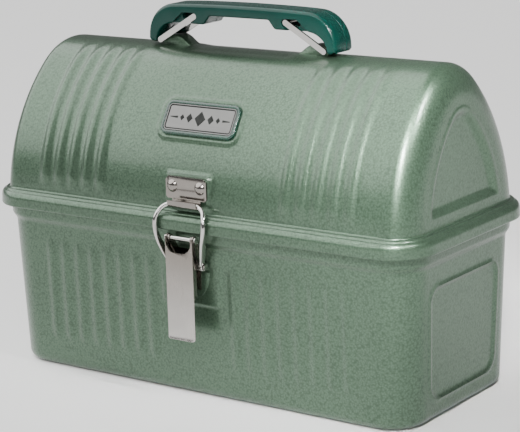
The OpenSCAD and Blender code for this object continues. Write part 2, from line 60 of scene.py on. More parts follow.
LID_LOW, LID_HIGH = corners("lid_shell")
TUB_TOP = corners("lower_tub")[1][2]
LEVER_BOTTOM = corners("latch_lever")[0][2]
GRIP_LOW, GRIP_HIGH = corners("grip_front")
REAR_LOW, REAR_HIGH = corners("grip_rear")

# ---- sheet and rim --------------------------------------------------------
WALL = 0.8
RIM_Z = LID_LOW[2]
RIM_HALF = np.array([LID_HIGH[0], -LID_LOW[1]])
OVERHANG = 7.75
RIM_CORNER = 28.0
RIM_RISE = 14.0

# ---- dome -----------------------------------------------------------------
DOME_HALF = RIM_HALF - OVERHANG
DOME_Z = RIM_Z + RIM_RISE
DOME_TOP = 208.9
CROWN_R = 42.5
END_RX = 13.0
END_RY = 20.0
DOME_LEAN = math.radians(5.4)
END_LEAN = 0.034
CROWN = np.array([0.0, DOME_TOP - CROWN_R])
FLANK_FOOT = np.array([DOME_HALF[1], DOME_Z])
FLANK_NORMAL = np.array([math.cos(DOME_LEAN), math.sin(DOME_LEAN)])
FLANK_R = ((FLANK_FOOT - CROWN) @ (FLANK_FOOT - CROWN) - CROWN_R ** 2) / (
    2 * ((FLANK_FOOT - CROWN) @ FLANK_NORMAL - CROWN_R))
FLANK = FLANK_FOOT - FLANK_R * FLANK_NORMAL
CROWN_FROM = math.atan2(CROWN[1] - FLANK[1], CROWN[0] - FLANK[0])

# ---- tub ------------------------------------------------------------------
TUB_HALF = np.array([154.4, 67.4])
TUB_DRAFT = 0.03
TUB_CORNER = 23.0
BASE_R = 6.4
BAND_OUT = 2.4
BAND_LOW = 95.8
BAND_TOP = 101.2
BEAD_R = 1.9

# ---- pressed ribs: half width, height, spacing and where they run ---------
LID_RIB_HALF = 5.2
LID_RIB_HEIGHT = 1.55
LID_RIB_START = 9.5
LID_RIB_START_BEHIND = 40.0
LID_RIB_END = 140.0
LID_RIB_X = [s * (93.1 + 11.3 * k) for s in (-1, 1) for k in range(-2, 3)]
TUB_RIB_HALF = 5.4
TUB_RIB_HEIGHT = 1.15
TUB_RIB_START = 27.0
TUB_RIB_END = 79.0
TUB_RIB_X = [s * (72.6 + 11.6 * (k - 3.5)) for s in (-1, 1) for k in range(8)]

# ---- dished ridge and end panels ------------------------------------------
RIDGE_HALF = 38.0
RIDGE_DIP = 1.1
LID_PANEL_INSET = 27.0
LID_PANEL_DEPTH = 2.6
TUB_PANEL_HALF = np.array([39.0, 35.0])
TUB_PANEL_Z = 49.0
TUB_PANEL_R = 10.0

# ---- flat pads under the fittings: half width, lowest and highest point ---
TUB_PAD_Y = 67.4
LID_PAD_Y = 67.6
HINGE_X = 85.0
HINGE_PAD_HALF = 25.0
HINGE_PAD_LID = (118, 141)
HINGE_PAD_TUB = (75, 101)
KEEPER_PAD_HALF = 14.6
KEEPER_PAD = (118, 139.2)
LATCH_PAD_HALF = 21
LATCH_PAD = (61, 101)

# ---- badge ----------------------------------------------------------------
BADGE_W = 56.0
BADGE_H = 22.0
BADGE_R = 5.0
BADGE_ANGLE = math.radians(31.4)

# ---- latch, as (y, z) -----------------------------------------------------
SHEET = 1.0
HOOK_BAR = np.array([-71.2, 123.0])
LEVER_PIVOT = np.array([-75.0, 102.8])
BAIL_PIVOT = np.array([-70.4, 85.5])
LEVER_HALF = 10.4
LEVER_TOP = 103.9
LEVER_FRONT = -78.6
FLANGE_LOW = 65.6
BAIL_R = 1.5
EYE_X = 12.2
EYE_HALF = 1.1
PIN_HOLE_R = 1.35

# ---- handle, as (x, z) ----------------------------------------------------
LINK_FOOT = np.array([62.3, 211.6])
LINK_HEAD = np.array([34.9, 227.6])
LINK_R = 1.5
CHANNEL_R = 1.85
SLOT_ROOM = 0.6
PIN_TRAVEL = 7.86
HANDLE_LIFT = 9.0
SEAM_Y = REAR_LOW[1]
WEB_Y = 7.2
SCREWS = ((0, 232.4), (-57, 228), (57, 228))
SCREW_HOLE_R = 2.62
SADDLE_X = 40.5
SADDLE_WRAP_R = 2.2
SADDLE_BORE_R = 1.55

# ---- camera, in degrees and metres ----------------------------------------
CAMERA_AZIMUTH = 35.795
CAMERA_ELEVATION = 13.497
CAMERA_ROLL = math.radians(-1.695)
CAMERA_DISTANCE = 1.2212
CAMERA_AIM = (0.00527, 0, 0.10159)
CAMERA_LENS = 133.17

# ---- how finely the pressings are built ----------------------------------
END_STEPS = 56
CORNER_STEPS = 14
FRONT_STEPS = 186


# ---------------------------------------------------------------------------
# Small helpers
# ---------------------------------------------------------------------------

def smooth(low, high, value):
    """0 below low, 1 above high and a smooth step between."""
    t = np.clip((value - low) / (high - low), 0.0, 1.0)
    return t * t * (3 - 2 * t)


def curve(points, steps):
    """Smooth curve through points, with steps pieces between each pair."""
    p = np.asarray(points, float)
    made = []
    for i in range(len(p) - 1):
        a, b, c, d = p[max(i - 1, 0)], p[i], p[i + 1], p[min(i + 2, len(p) - 1)]
        for k in range(steps):
            t = k / steps
            made.append(0.5 * (2 * b + (c - a) * t + (2 * a - 5 * b + 4 * c - d) * t * t
                               + (3 * b - a - 3 * c + d) * t ** 3))
    made.append(p[-1])
    return np.array(made)


def arc(centre, radii, start, end, steps):
    """Points of an elliptical arc, with its angles in degrees."""
    t = np.radians(np.linspace(start, end, steps + 1))
    return np.column_stack([centre[0] + radii[0] * np.cos(t), centre[1] + radii[1] * np.sin(t)])


def link_object(name, mesh):
    """New object for a mesh, in the scene."""
    obj = bpy.data.objects.new(name, mesh)
    bpy.context.scene.collection.objects.link(obj)
    return obj


def tidy_mesh(mesh, sharp):
    """Merges shared points, turns all faces outwards and shades by angle."""
    bm = bmesh.new()
    bm.from_mesh(mesh)
    bmesh.ops.remove_doubles(bm, verts=bm.verts, dist=1e-6)
    bmesh.ops.dissolve_degenerate(bm, dist=1e-7, edges=bm.edges)
    bmesh.ops.recalc_face_normals(bm, faces=bm.faces)
    bm.to_mesh(mesh)
    bm.free()
    mesh.shade_smooth()
    mesh.set_sharp_from_angle(angle=math.radians(sharp))


def solid(name, points, faces, sharp=38):
    """Object made from points in millimetres."""
    mesh = bpy.data.meshes.new(name)
    mesh.from_pydata((np.asarray(points, float) * MM).tolist(), [], faces)
    tidy_mesh(mesh, sharp)
    return link_object(name, mesh)


def loft(name, loops, caps=True, sharp=38):
    """Closed skin through loops of equal length, with flat caps at its two ends."""
    loops = [np.asarray(loop, float) for loop in loops]
    n, m = len(loops[0]), len(loops)
    faces = []
    for k in range(m - 1):
        base = k * n
        faces += [[base + i, base + (i + 1) % n, base + n + (i + 1) % n, base + n + i]
                  for i in range(n)]
    if caps:
        faces.append(list(range(n)))
        faces.append(list(range((m - 1) * n, m * n)))
    return solid(name, np.concatenate(loops), faces, sharp)


def prism_y(name, outline, y0, y1):
    """Outline in (x, z) extruded from y0 to y1."""
    outline = np.asarray(outline, float)
    return loft(name, [np.column_stack([outline[:, 0], np.full(len(outline), y), outline[:, 1]])
                       for y in (y0, y1)])


def prism_x(name, outline, x0, x1):
    """Outline in (y, z) extruded from x0 to x1."""
    outline = np.asarray(outline, float)
    return loft(name, [np.column_stack([np.full(len(outline), x), outline]) for x in (x0, x1)])


def bake_modifiers(obj):
    """Replaces the object's mesh by the one its modifiers make."""
    shown = obj.evaluated_get(bpy.context.evaluated_depsgraph_get())
    obj.data = bpy.data.meshes.new_from_object(shown)
    obj.modifiers.clear()


def combine(obj, other, operation):
    """Boolean of two closed solids; the second one is used up."""
    bpy.context.view_layer.update()
    step = obj.modifiers.new(operation.lower(), "BOOLEAN")
    step.operation = operation
    step.solver = "EXACT"
    step.object = other
    bake_modifiers(obj)
    bpy.data.objects.remove(other)
    return obj


def bevel(obj, width, segments=3, angle=35):
    """Rounds the edges that turn by more than the angle; width is in millimetres."""
    step = obj.modifiers.new("bevel", "BEVEL")
    step.width = width * MM
    step.segments = segments
    step.limit_method = "ANGLE"
    step.angle_limit = math.radians(angle)
    bake_modifiers(obj)
    tidy_mesh(obj.data, 50)
    return obj


def convex_hull(points):
    """Outline of the convex hull of flat points, in order."""
    pts = sorted({(round(float(x), 6), round(float(z), 6)) for x, z in points})

    def half(seq):
        out = []
        for p in seq:
            while len(out) > 1 and ((out[-1][0] - out[-2][0]) * (p[1] - out[-2][1])
                                    - (out[-1][1] - out[-2][1]) * (p[0] - out[-2][0])) <= 0:
                out.pop()
            out.append(p)
        return out[:-1]

    return half(pts) + half(reversed(pts))


def discs_hull(centres, radius, steps=40):
    """Outline round discs of one radius, or of a radius each."""
    radii = radius if isinstance(radius, (list, tuple)) else [radius] * len(centres)
    return convex_hull(np.concatenate(
        [arc(c, (r, r), 0, 360, steps) for c, r in zip(centres, radii)]))


def place(obj, body, material, slot, *nodes):
    """Gives a finished piece its material and body, and hides the CAD nodes it stands for; slot
    is not used.
    """
    obj.data.materials.clear()
    obj.data.materials.append(material)
    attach(obj, body)
    if nodes:
        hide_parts(*nodes)
    return obj


# ---------------------------------------------------------------------------
# Materials
# ---------------------------------------------------------------------------

def new_material(name, **values):
    """Material with a Principled shader whose constant values are set on its sockets."""
    material = bpy.data.materials.new(name)
    material.use_nodes = True
    shader = material.node_tree.nodes["Principled BSDF"]
    for socket, value in values.items():
        shader.inputs[socket.replace("_", " ")].default_value = value
    return material, shader


def add(material, kind, **values):
    """New shader node with values for its sockets or its own settings."""
    node = material.node_tree.nodes.new(kind)
    for key, value in values.items():
        if key in node.inputs:
            node.inputs[key].default_value = value
        else:
            setattr(node, key, value)
    return node


def join(material, source, target):
    """Link from one node's socket to another's."""
    material.node_tree.links.new(source, target)


def place_coords(material, stretch=(1, 1, 1)):
    """Coordinates of the object itself, in metres, squeezed along each axis."""
    coords = add(material, "ShaderNodeTexCoord")
    mapping = add(material, "ShaderNodeMapping")
    mapping.inputs["Scale"].default_value = stretch
    join(material, coords.outputs["Object"], mapping.inputs["Vector"])
    return mapping.outputs["Vector"]


def noise(material, vector, scale, detail=2.0, rough=0.5):
    """Cloudy grey pattern; scale is in patches per metre."""
    node = add(material, "ShaderNodeTexNoise", Scale=scale, Detail=detail, Roughness=rough)
    join(material, vector, node.inputs["Vector"])
    return node.outputs["Fac"]


def ramp(material, value, stops):
    """Colour ramp through (position, grey or colour) stops."""
    node = add(material, "ShaderNodeValToRGB")
    line = node.color_ramp
    while len(line.elements) < len(stops):
        line.elements.new(0.5)
    for element, (position, colour) in zip(line.elements, stops):
        element.position = position
        element.color = (*colour, 1) if isinstance(colour, tuple) else (colour,) * 3 + (1,)
    join(material, value, node.inputs["Fac"])
    return node.outputs["Color"]


def mix(material, share, a, b, blend="MIX"):
    """Mix of two colours; share, a and b are sockets or values."""
    node = add(material, "ShaderNodeMix", data_type="RGBA", blend_type=blend)
    places = (node.inputs[0], node.inputs[6], node.inputs[7])
    for socket, value in zip(places, (share, a, b)):
        if isinstance(value, bpy.types.NodeSocket):
            join(material, value, socket)
        else:
            socket.default_value = value if isinstance(value, float) else (*value, 1)
    return node.outputs[2]


def bump(material, shader, height, distance, strength=1.0):
    """Bump on the shader's normal, whose full height is the distance in metres."""
    node = add(material, "ShaderNodeBump", Distance=distance, Strength=strength)
    join(material, height, node.inputs["Height"])
    join(material, node.outputs["Normal"], shader.inputs["Normal"])


def hammertone_paint():
    """Sage enamel that dried in small hammered dimples, with metal flake in it."""
    material, shader = new_material("hammertone_paint", Metallic=0.72, Coat_Weight=0.4,
                                    Coat_Roughness=0.16, Specular_IOR_Level=0.5)
    at = place_coords(material)
    cells = add(material, "ShaderNodeTexVoronoi", feature="SMOOTH_F1", Scale=760.0,
                Smoothness=0.6)
    join(material, at, cells.inputs["Vector"])
    grain = noise(material, at, 1100.0, 3.0, 0.6)
    dimple = mix(material, 0.45, cells.outputs["Distance"], grain)
    flake = ramp(material, dimple, [(0.3, (0.078, 0.130, 0.085)), (0.5, (0.062, 0.107, 0.068)),
                                    (0.68, (0.043, 0.078, 0.048))])
    drift = ramp(material, noise(material, at, 16.0, 2.0), [(0.3, 0.94), (0.7, 1.0)])
    join(material, mix(material, 1.0, flake, drift, "MULTIPLY"), shader.inputs["Base Color"])
    gloss = ramp(material, grain, [(0.3, 0.27), (0.7, 0.42)])
    join(material, gloss, shader.inputs["Roughness"])
    bump(material, shader, dimple, 0.00028, 0.5)
    return material


def nickel(name, rough_low, rough_high, brushed, tint, painted_reflection=False):
    """Nickel plate; brushed squeezes its grain, and a painted reflection darkens the lever's
    upper end.
    """
    material, shader = new_material(name, Metallic=1.0, Specular_IOR_Level=0.5)
    at = place_coords(material, brushed)
    lines = noise(material, at, 900.0, 3.0, 0.6)
    smudge = noise(material, place_coords(material), 60.0, 3.0, 0.55)
    darker = tuple(0.86 * c for c in tint)
    colour = ramp(material, smudge, [(0.3, darker), (0.7, tint)])
    # Painted reflection: the colour darkens along Z towards the lever's upper end and lightens
    # towards its bottom.
    if painted_reflection:
        height = add(material, "ShaderNodeSeparateXYZ")
        join(material, place_coords(material, (1, 1, 10)), height.inputs["Vector"])
        reflection_shade = ramp(material, height.outputs["Z"], [(0.42, 1.0), (0.95, (0.5, 0.47, 0.44))])
        colour = mix(material, 1.0, colour, reflection_shade, "MULTIPLY")
    join(material, colour, shader.inputs["Base Color"])
    both = mix(material, 0.5, lines, smudge)
    join(material, ramp(material, both, [(0.35, rough_low), (0.65, rough_high)]),
         shader.inputs["Roughness"])
    bump(material, shader, lines, 0.00002, 0.35)
    return material


def zinc_plate():
    """Dull zinc plate with faint crystals."""
    material, shader = new_material("zinc_plate", Metallic=1.0)
    at = place_coords(material)
    crystals = add(material, "ShaderNodeTexVoronoi", feature="F1", Scale=420.0)
    join(material, at, crystals.inputs["Vector"])
    shade = ramp(material, crystals.outputs["Distance"],
                 [(0.1, (0.64, 0.64, 0.62)), (0.7, (0.52, 0.53, 0.52))])
    join(material, shade, shader.inputs["Base Color"])
    rough = ramp(material, noise(material, at, 260.0), [(0.3, 0.3), (0.7, 0.45)])
    join(material, rough, shader.inputs["Roughness"])
    bump(material, shader, crystals.outputs["Distance"], 0.00003, 0.4)
    return material


def grip_plastic():
    """Deep green moulded plastic with a fine spark-eroded grain."""
    material, shader = new_material("grip_plastic", Specular_IOR_Level=0.3)
    at = place_coords(material)
    cloud = noise(material, at, 45.0, 3.0)
    colour = ramp(material, cloud, [(0.3, (0.0, 0.028, 0.021)), (0.7, (0.0, 0.035, 0.026))])
    join(material, colour, shader.inputs["Base Color"])
    grain = noise(material, at, 1900.0, 2.0, 0.6)
    rough = ramp(material, grain, [(0.3, 0.2), (0.7, 0.3)])
    join(material, rough, shader.inputs["Roughness"])
    bump(material, shader, grain, 0.00003, 0.35)
    return material


def badge_enamel():
    """Glassy dark green enamel with a slight orange peel."""
    material, shader = new_material("badge_enamel", Coat_Weight=0.6, Coat_Roughness=0.08)
    at = place_coords(material)
    cloud = noise(material, at, 160.0, 2.0)
    colour = ramp(material, cloud, [(0.3, (0.001, 0.028, 0.016)), (0.7, (0.002, 0.038, 0.022))])
    join(material, colour, shader.inputs["Base Color"])
    rough = ramp(material, cloud, [(0.3, 0.2), (0.7, 0.32)])
    join(material, rough, shader.inputs["Roughness"])
    bump(material, shader, noise(material, at, 500.0), 0.00004, 0.3)
    return material


def black_enamel():
    """Black paint in the badge's groove and ornament."""
    material, shader = new_material("black_enamel", Specular_IOR_Level=0.1)
    at = place_coords(material)
    cloud = noise(material, at, 300.0, 2.0)
    colour = ramp(material, cloud, [(0.3, (0.010, 0.011, 0.010)), (0.7, (0.022, 0.024, 0.022))])
    join(material, colour, shader.inputs["Base Color"])
    join(material, ramp(material, cloud, [(0.3, 0.3), (0.7, 0.45)]), shader.inputs["Roughness"])
    bump(material, shader, cloud, 0.00002, 0.3)
    return material


# ---------------------------------------------------------------------------
# Lid and tub pressings
# ---------------------------------------------------------------------------

def arch_point(a, inset):
    """(distance from the middle plane, height) of the dome's section at angle a."""
    low = a < CROWN_FROM
    r = np.where(low, FLANK_R, CROWN_R) - inset
    return (np.where(low, FLANK[0], CROWN[0]) + r * np.cos(a),
            np.where(low, FLANK[1], CROWN[1]) + r * np.sin(a))


def arch_inset(y, z):
    """How far a point of the end face lies inside the dome's section."""
    y = np.abs(y)
    angle = np.arctan2(z - CROWN[1], y - CROWN[0])
    crown = CROWN_R - np.hypot(y - CROWN[0], z - CROWN[1])
    flank = FLANK_R - np.hypot(y - FLANK[0], z - FLANK[1])
    return np.where(angle > CROWN_FROM, crown, flank)


def arch_length(a):
    """Length along the dome's section from its foot to angle a."""
    return np.where(a < CROWN_FROM, FLANK_R * (a - DOME_LEAN),
                    FLANK_R * (CROWN_FROM - DOME_LEAN) + CROWN_R * (a - CROWN_FROM))


def loop_columns():
    """One round of columns: the corner angle, the sign of x and y, and the place along.

    kind is 0 on an end, 1 on a corner and 2 on the front or the back.
    """
    cols = []
    for i in range(END_STEPS):
        cols.append((0, 0.0, 1, -1 + 2 * i / END_STEPS))
    for sx, sy, start, end in ((1, 1, 0, 90), (-1, 1, 90, 0), (-1, -1, 0, 90), (1, -1, 90, 0)):
        for i in range(CORNER_STEPS):
            cols.append((1, start + (end - start) * i / CORNER_STEPS, sx, sy))
        if (sx, sy) == (1, 1):
            cols += [(2, 90.0, 1 - 2 * i / FRONT_STEPS, 1) for i in range(FRONT_STEPS)]
        if (sx, sy) == (-1, 1):
            cols += [(0, 0.0, -1, 1 - 2 * i / END_STEPS) for i in range(END_STEPS)]
        if (sx, sy) == (-1, -1):
            cols += [(2, 90.0, -1 + 2 * i / FRONT_STEPS, -1) for i in range(FRONT_STEPS)]
    kind, c, sx, sy = (np.array(v, float) for v in zip(*cols))
    return kind, np.radians(c), sx, sy


KIND, CORNER, SX, SY = loop_columns()
ON_END, ON_FACE = KIND == 0, KIND == 2


def rounded_loop(half_x, half_y, rx, ry, z):
    """Rounded rectangle at height z, through the shared columns."""
    x = np.where(ON_FACE, SX * (half_x - rx), np.sign(SX) * (half_x - rx + rx * np.cos(CORNER)))
    y = np.where(ON_END, SY * (half_y - ry), np.sign(SY) * (half_y - ry + ry * np.sin(CORNER)))
    return np.column_stack([x, y, np.full(len(x), z)])


def dome_loop(a, inset):
    """Loop round the dome where its side faces up by the angle a."""
    y, z = arch_point(np.full(len(CORNER), a), END_RY - (END_RY - inset) * np.sin(CORNER))
    reach = DOME_HALF[0] - END_LEAN * (z - DOME_Z)
    x = np.where(ON_FACE, SX * (reach - END_RX),
                 np.sign(SX) * (reach - END_RX + (END_RX - inset) * np.cos(CORNER)))
    y = np.where(ON_END, SY * y, np.sign(SY) * y)
    return np.column_stack([x, y, z])


def dome_normals(a):
    """Outward directions of the dome's loop at angle a."""
    nx, nv = END_RY * np.cos(CORNER), END_RX * np.sin(CORNER)
    size = np.hypot(nx, nv)
    nx, nv = nx / size, nv / size
    return np.column_stack([np.where(ON_FACE, 0, np.sign(SX) * nx),
                            np.where(ON_END, 0, np.sign(SY) * nv * math.cos(a)),
                            nv * math.sin(a)])


def ribs(across, along, places, start, end, half, height):
    """Height of rounded pressed ribs that run along one direction."""
    past = np.maximum(np.maximum(start - along, along - end), 0.0)
    total = np.zeros(np.broadcast(across, along).shape)
    for place_x in places:
        far = np.hypot(across - place_x, 0.5 * past) / half
        total += np.where(far < 1, np.cos(np.clip(far, 0, 1) * math.pi / 2) ** 2, 0.0)
    return height * total


def rounded_box_distance(x, y, half_x, half_y, r):
    """Signed distance to a rounded rectangle, below 0 inside."""
    qx, qy = np.abs(x) - half_x + r, np.abs(y) - half_y + r
    outside = np.hypot(np.maximum(qx, 0), np.maximum(qy, 0))
    return outside + np.minimum(np.maximum(qx, qy), 0) - r


def pad_mask(x, z, centre, half, low, high, soft):
    """1 on a flat pad and 0 away from it, with a soft edge."""
    return (smooth(-half - soft, -half, x - centre) * smooth(-half - soft, -half, centre - x)
            * smooth(low - soft, low, z) * smooth(-high - soft, -high, -z))


def dome_relief(loop, a, with_pads):
    """How far each point of a dome loop is pressed out."""
    x, y, z = loop.T
    along = float(arch_length(np.array(a)))
    fade = 1 - smooth(math.radians(42), math.radians(80), a)
    start = np.where(y > 0, LID_RIB_START_BEHIND, LID_RIB_START)
    rib = ribs(x, along, LID_RIB_X, start, LID_RIB_END, LID_RIB_HALF, LID_RIB_HEIGHT) * fade
    badge_at = float(arch_length(np.array(BADGE_ANGLE)))
    away = rounded_box_distance(x, along - badge_at, BADGE_W / 2, BADGE_H / 2, BADGE_R)
    lip = np.where(y < 0, 1.25 * np.exp(-((away - 1.7) / 1.25) ** 2), 0.0)
    dip = -RIDGE_DIP * (smooth(-RIDGE_HALF - 6, -RIDGE_HALF + 4, -np.abs(x))
                        * smooth(-17, -8, -np.abs(y)))
    face = rib + lip + dip
    if with_pads:
        pads = pad_mask(x, z, 0, KEEPER_PAD_HALF, *KEEPER_PAD, 1.8) * (y < 0)
        for centre in (-HINGE_X, HINGE_X):
            pads += pad_mask(x, z, centre, HINGE_PAD_HALF, *HINGE_PAD_LID, 3.0) * (y > 0)
        face = face + np.maximum(LID_PAD_Y - np.abs(y), 0) * pads
    inside = np.minimum(arch_inset(y, z) - LID_PANEL_INSET, z - DOME_Z - 3.4)
    bead = 0.35 * np.exp(-((inside + 1.2) / 1.3) ** 2)
    panel = -LID_PANEL_DEPTH * smooth(0, 5.0, inside) + bead
    return np.where(ON_FACE, face, np.where(ON_END, panel, 0.0))


def relieved(loop, a, with_pads):
    """Dome loop with its ribs, embossings and panels pressed out."""
    return loop + dome_normals(a) * dome_relief(loop, a, with_pads)[:, None]


def rim_loop(out, rise):
    """Loop of the lid's rim, out from the dome's side."""
    share = out / OVERHANG
    rx = END_RX + share * (RIM_CORNER - END_RX)
    ry = END_RY + share * (RIM_CORNER - END_RY)
    return rounded_loop(DOME_HALF[0] + out, DOME_HALF[1] + out, rx, ry, RIM_Z + rise)


def rim_profile():
    """Outside of the rim from the dome down: small bead, groove, shoulder, skirt and hem."""
    return curve([(0.0, 14.0), (0.05, 12.5), (0.2, 11.4), (0.7, 10.7), (1.5, 10.45),
                  (2.4, 10.6), (3.1, 10.5), (3.8, 10.0), (4.3, 9.4), (4.9, 9.2), (5.6, 8.9),
                  (6.5, 8.1), (7.2, 6.9), (7.55, 5.4), (7.6, 3.5), (7.7, 2.3), (7.75, 1.3),
                  (7.7, 0.5), (7.3, 0.0)], 2)


def rim_inside():
    """Inside of the rim from the hem up to the dome."""
    return [(6.95, 0.2), (6.9, 4.8), (6.4, 6.4), (5.2, 7.6), (3.4, 8.8), (2.2, 9.4),
            (0.8, 9.6), (-0.5, 10.6), (-WALL, RIM_RISE)]


def steps_between(first, last, count):
    """The loops that lie evenly between two loops."""
    return [first + (last - first) * k / count for k in range(1, count)]


def build_lid(material):
    """Domed lid with its rim, as one closed sheet."""
    fine = np.concatenate([np.linspace(90, 48, 30), np.linspace(47.2, 8.5, 62)])
    rough = np.concatenate([np.linspace(8.5, 48, 30), np.linspace(52, 90, 12)])
    outer = [relieved(dome_loop(a, 0), a, True) for a in np.radians(fine)]
    rim = [rim_loop(*p) for p in rim_profile()]
    foot = steps_between(outer[-1], rim[0], 5)
    inner_rim = [rim_loop(*p) for p in rim_inside()]
    inner = [relieved(dome_loop(a, WALL), a, False) for a in np.radians(rough)]
    lid = loft("lid_pressing", outer + foot + rim + inner_rim + inner, caps=False, sharp=60)
    return place(lid, "lid", material, "painted_steel", "lid_shell")


def tub_loop(z, inset):
    """Loop of the tub's leaning wall at height z."""
    lean = TUB_DRAFT * (RIM_Z - z) + inset
    r = max(TUB_CORNER - inset, 3.0)
    return rounded_loop(TUB_HALF[0] - lean, TUB_HALF[1] - lean, r, r, z)


def tub_relief(loop, with_pads):
    """How far each point of a tub loop is pressed out."""
    x, y, z = loop.T
    rib = ribs(x, z, TUB_RIB_X, TUB_RIB_START, TUB_RIB_END, TUB_RIB_HALF, TUB_RIB_HEIGHT)
    if with_pads:
        pads = pad_mask(x, z, 0, LATCH_PAD_HALF, *LATCH_PAD, 2.6) * (y < 0)
        for centre in (-HINGE_X, HINGE_X):
            pads += pad_mask(x, z, centre, HINGE_PAD_HALF, *HINGE_PAD_TUB, 2.6) * (y > 0)
        rib = rib * (1 - np.minimum(pads, 1))
        face = rib + np.maximum(TUB_PAD_Y - np.abs(y), 0) * pads
    else:
        face = rib
    half_y, half_z = TUB_PANEL_HALF
    widened = y * half_y / (half_y - 1 + (z - 13.5) * TUB_DRAFT)
    edge = rounded_box_distance(widened, z - TUB_PANEL_Z, half_y, half_z, TUB_PANEL_R)
    panel = np.exp(-(edge / 1.3) ** 2) - 0.6 * smooth(0, 2.0, -edge)
    return np.where(ON_FACE, face, np.where(ON_END, panel, 0.0))


def tub_row(z, inset, with_pads):
    """Tub loop with its ribs, pads and panels pressed out."""
    loop = tub_loop(z, inset)
    out = tub_relief(loop, with_pads)
    loop[:, 0] += np.where(ON_END, np.sign(SX) * out, 0)
    loop[:, 1] += np.where(ON_FACE, np.sign(SY) * out, 0)
    return loop


def build_tub(material):
    """Tub with a rounded base, a flared band and a rolled bead, as one closed sheet."""
    turns = np.radians(np.linspace(0, 90, 9))
    base = [tub_loop(BASE_R * (1 - math.cos(t)), BASE_R * (1 - math.sin(t))) for t in turns]
    inner_r = BASE_R - WALL
    inner_base = [tub_loop(WALL + inner_r * (1 - math.cos(t)), WALL + inner_r * (1 - math.sin(t)))
                  for t in turns[::-1]]
    sides = [tub_row(z, 0, True) for z in np.linspace(BASE_R + 1.4, BAND_LOW, 60)]
    rise = [(BAND_LOW + (BAND_TOP - BAND_LOW) * k / 8, BAND_OUT * float(smooth(0, 8, k)))
            for k in range(1, 9)]
    band = [tub_row(z, -out, True) for z, out in rise]
    bead_z = TUB_TOP - BEAD_R
    bead = [tub_loop(bead_z + BEAD_R * math.sin(a), BEAD_R * (1 - math.cos(a)) - BAND_OUT)
            for a in np.radians(np.arange(0, 241, 20))]
    inner_band = [tub_loop(TUB_TOP - 2 * BEAD_R - 0.6, WALL - BAND_OUT)]
    inner_band += [tub_loop(z - 0.2, WALL - out) for z, out in rise[::-1]]
    inner = [tub_row(z, WALL, False) for z in np.linspace(BAND_LOW - 0.4, BASE_R + 1.4, 32)]
    tub = loft("tub_pressing", base + sides + band + bead + inner_band + inner + inner_base,
               sharp=60)
    return place(tub, "tub", material, "painted_steel", "lower_tub")


def build_base_plate(material):
    """Painted plate with a round lower end, between the tub and the latch bracket."""
    outline = np.concatenate([[(10.8, 94.6), (-10.8, 94.6)], [(-10.8, 82.2)],
                              arc((0, 81.5), (15.2, 18.4), 180, 360, 28), [(10.8, 82.2)]])
    plate = prism_y("latch_backing", outline, -TUB_PAD_Y - 0.38, -TUB_PAD_Y + 0.6)
    bevel(plate, 0.2, 2)
    return place(plate, "tub", material, "painted_steel")


# ---------------------------------------------------------------------------
# Badge
# ---------------------------------------------------------------------------

def badge_place():
    """Matrix from the badge's own axes to the lid, in millimetres."""
    y, z = arch_point(np.array(BADGE_ANGLE), 0)
    turn = Matrix.Rotation(math.pi / 2 - BADGE_ANGLE, 3, "X")
    return turn, Vector((0, -float(y), float(z)))


def rounded_rect(half_x, half_y, r, steps=9):
    """Outline of a rounded rectangle, anticlockwise from its right side."""
    return np.concatenate([
        arc((half_x - r, half_y - r), (r, r), 0, 90, steps),
        arc((-half_x + r, half_y - r), (r, r), 90, 180, steps),
        arc((-half_x + r, -half_y + r), (r, r), 180, 270, steps),
        arc((half_x - r, -half_y + r), (r, r), 270, 360, steps)])


def badge_loops(profile):
    """Loops of the badge's outline through (inset, height) points."""
    turn, centre = badge_place()
    loops = []
    for inset, height in profile:
        flat = rounded_rect(BADGE_W / 2 - inset, BADGE_H / 2 - inset, max(BADGE_R - inset, 1.0))
        loops.append([turn @ Vector((p[0], p[1], height)) + centre for p in flat])
    return loops


def build_badge(enamel, brushed, black):
    """Enamelled surround, brushed plate with a black groove, and the ornament."""
    frame_profile = [(0, -1.2), (0, 1.2), (0.2, 1.75), (0.65, 2.05), (1.4, 2.1), (1.95, 1.95),
                     (2.2, 1.6), (2.25, 1.1)]
    surround = loft("badge_surround", badge_loops(frame_profile), sharp=50)
    place(surround, "lid", enamel, "badge_enamel", "badge_frame")
    plate_profile = [(2.3, 1.1), (2.3, 1.7), (2.45, 1.95), (2.8, 2.0), (3.05, 1.9), (3.15, 1.55),
                     (3.65, 1.5), (3.8, 1.75), (4.1, 1.82)]
    plate = loft("badge_face", badge_loops(plate_profile), sharp=40)
    place(plate, "lid", brushed, "badge_steel", "badge_plate")
    plate.data.materials.append(black)
    turn, centre = badge_place()
    for face in plate.data.polygons:
        at = turn.transposed() @ (Vector(face.center) / MM - centre)
        inset = -rounded_box_distance(at.x, at.y, BADGE_W / 2, BADGE_H / 2, BADGE_R)
        if 3.08 < inset < 3.75 and at.z > 1.3:
            face.material_index = 1
    build_ornament(black)


def build_ornament(black):
    """A plain row of lozenges between two tapered rules, inlaid in the badge."""
    turn, centre = badge_place()
    shapes = [(0, 4.0, 4.8), (-8, 2.3, 2.9), (8, 2.3, 2.9), (-13.6, 1.5, 1.9), (13.6, 1.5, 1.9)]
    points, faces = [], []

    def lay(outline):
        start, n = len(points), len(outline)
        for height in (1.7, 1.98):
            points.extend(turn @ Vector((x, y, height)) + centre for x, y in outline)
        faces.append(list(range(start, start + n)))
        faces.append(list(range(start + n, start + 2 * n)))
        faces.extend([start + i, start + (i + 1) % n, start + n + (i + 1) % n, start + n + i]
                     for i in range(n))

    for x, half_w, half_h in shapes:
        lay([(x + half_w, 0), (x, half_h), (x - half_w, 0), (x, -half_h)])
    for side in (-1, 1):
        lay([(side * 17, 0.7), (side * 22.5, 0.2), (side * 22.5, -0.2),
             (side * 17, -0.7)][::side])
    ornament = solid("badge_ornament", points, faces, 30)
    place(ornament, "lid", black, "badge_enamel")


# ---------------------------------------------------------------------------
# Latch
# ---------------------------------------------------------------------------

